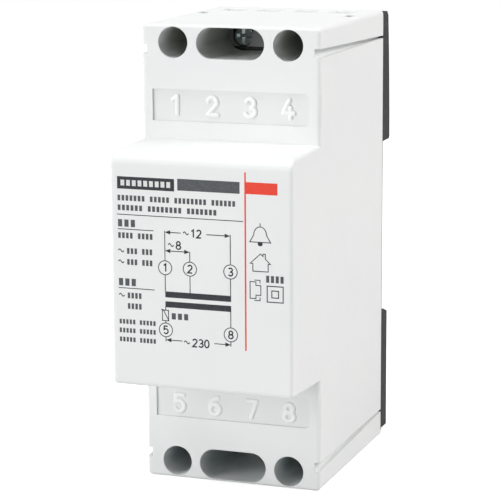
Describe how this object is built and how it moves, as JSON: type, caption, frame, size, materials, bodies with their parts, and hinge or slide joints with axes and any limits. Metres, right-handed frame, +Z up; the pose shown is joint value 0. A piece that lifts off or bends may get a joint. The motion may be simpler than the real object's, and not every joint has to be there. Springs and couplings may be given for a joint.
{
  "type": "doorbell transformer",
  "caption": "Rail-mounted doorbell transformer with a raised front, screw terminals behind access holes at both ends, and a sprung latch for a 35 mm rail.",
  "frame": {"origin": "middle of the 35 mm rail, on the plane where the rail's flanges seat", "axes": "+Z up along the housing's height, +X across its width along the rail, -Y out of the front"},
  "size_m": [0.036, 0.064, 0.09],
  "materials": {
    "cover_plastic": "fine matt",
    "base_plastic": "matt",
    "block_plastic": "matt",
    "bobbin_plastic": "matt",
    "zinc_steel": "zinc plated",
    "spring_steel": "rolled strip",
    "tinned_brass": "tinned",
    "core_sheet": "varnished sheet stack",
    "copper_wire": "enamelled",
    "tape": "film tape",
    "ptc_body": "lacquered"
  },
  "bodies": {
    "housing": {"front_cover": "cover_plastic", "rear_base": "base_plastic", "latch_spring": "spring_steel", "upper_terminal_block": "block_plastic", "lower_terminal_block": "block_plastic", "contact_bar_1": "tinned_brass", "contact_bar_2": "tinned_brass", "contact_bar_3": "tinned_brass", "contact_bar_5": "tinned_brass", "contact_bar_8": "tinned_brass", "core_e_stack": "core_sheet", "core_i_stack": "core_sheet", "bobbin": "bobbin_plastic", "primary_winding": "copper_wire", "secondary_winding": "copper_wire", "primary_tape": "tape", "secondary_tape": "tape", "ptc_thermistor": "ptc_body"},
    "latch": {"rail_latch": "base_plastic"},
    "screw_1": {"terminal_screw_1": "zinc_steel"},
    "screw_2": {"terminal_screw_2": "zinc_steel"},
    "screw_3": {"terminal_screw_3": "zinc_steel"},
    "screw_5": {"terminal_screw_5": "zinc_steel"},
    "screw_8": {"terminal_screw_8": "zinc_steel"},
    "cage_1": {"terminal_cage_1": "zinc_steel"},
    "cage_2": {"terminal_cage_2": "zinc_steel"},
    "cage_3": {"terminal_cage_3": "zinc_steel"},
    "cage_5": {"terminal_cage_5": "zinc_steel"},
    "cage_8": {"terminal_cage_8": "zinc_steel"}
  },
  "joints": [
    {"name": "latch_slide", "type": "slide", "parent": "housing", "child": "latch", "axis": [0, 0, -1], "range_m": [0, 0.003], "stiffness_N_per_m": 1500, "springref_m": -0.004, "deforming": ["latch_spring"]},
    {"name": "screw_1_turn", "type": "hinge", "parent": "housing", "child": "screw_1", "pos_m": [-0.01164, -0.02, 0.0413], "axis": [0, 1, 0], "range_deg": [0, 2160]},
    {"name": "screw_2_turn", "type": "hinge", "parent": "housing", "child": "screw_2", "pos_m": [-0.00388, -0.02, 0.0413], "axis": [0, 1, 0], "range_deg": [0, 2160]},
    {"name": "screw_3_turn", "type": "hinge", "parent": "housing", "child": "screw_3", "pos_m": [0.00388, -0.02, 0.0413], "axis": [0, 1, 0], "range_deg": [0, 2160]},
    {"name": "screw_5_turn", "type": "hinge", "parent": "housing", "child": "screw_5", "pos_m": [-0.01164, -0.02, -0.0413], "axis": [0, 1, 0], "range_deg": [0, 2160]},
    {"name": "screw_8_turn", "type": "hinge", "parent": "housing", "child": "screw_8", "pos_m": [0.01164, -0.02, -0.0413], "axis": [0, 1, 0], "range_deg": [0, 2160]},
    {"name": "cage_1_rise", "type": "slide", "parent": "housing", "child": "cage_1", "axis": [0, -1, 0], "range_m": [0, 0.003]},
    {"name": "cage_2_rise", "type": "slide", "parent": "housing", "child": "cage_2", "axis": [0, -1, 0], "range_m": [0, 0.003]},
    {"name": "cage_3_rise", "type": "slide", "parent": "housing", "child": "cage_3", "axis": [0, -1, 0], "range_m": [0, 0.003]},
    {"name": "cage_5_rise", "type": "slide", "parent": "housing", "child": "cage_5", "axis": [0, -1, 0], "range_m": [0, 0.003]},
    {"name": "cage_8_rise", "type": "slide", "parent": "housing", "child": "cage_8", "axis": [0, -1, 0], "range_m": [0, 0.003]}
  ],
  "couplings": [
    {"joint": "screw_1_turn", "follows": "cage_1_rise", "rad_per_m": 12566},
    {"joint": "screw_2_turn", "follows": "cage_2_rise", "rad_per_m": 12566},
    {"joint": "screw_3_turn", "follows": "cage_3_rise", "rad_per_m": 12566},
    {"joint": "screw_5_turn", "follows": "cage_5_rise", "rad_per_m": 12566},
    {"joint": "screw_8_turn", "follows": "cage_8_rise", "rad_per_m": 12566}
  ]
}
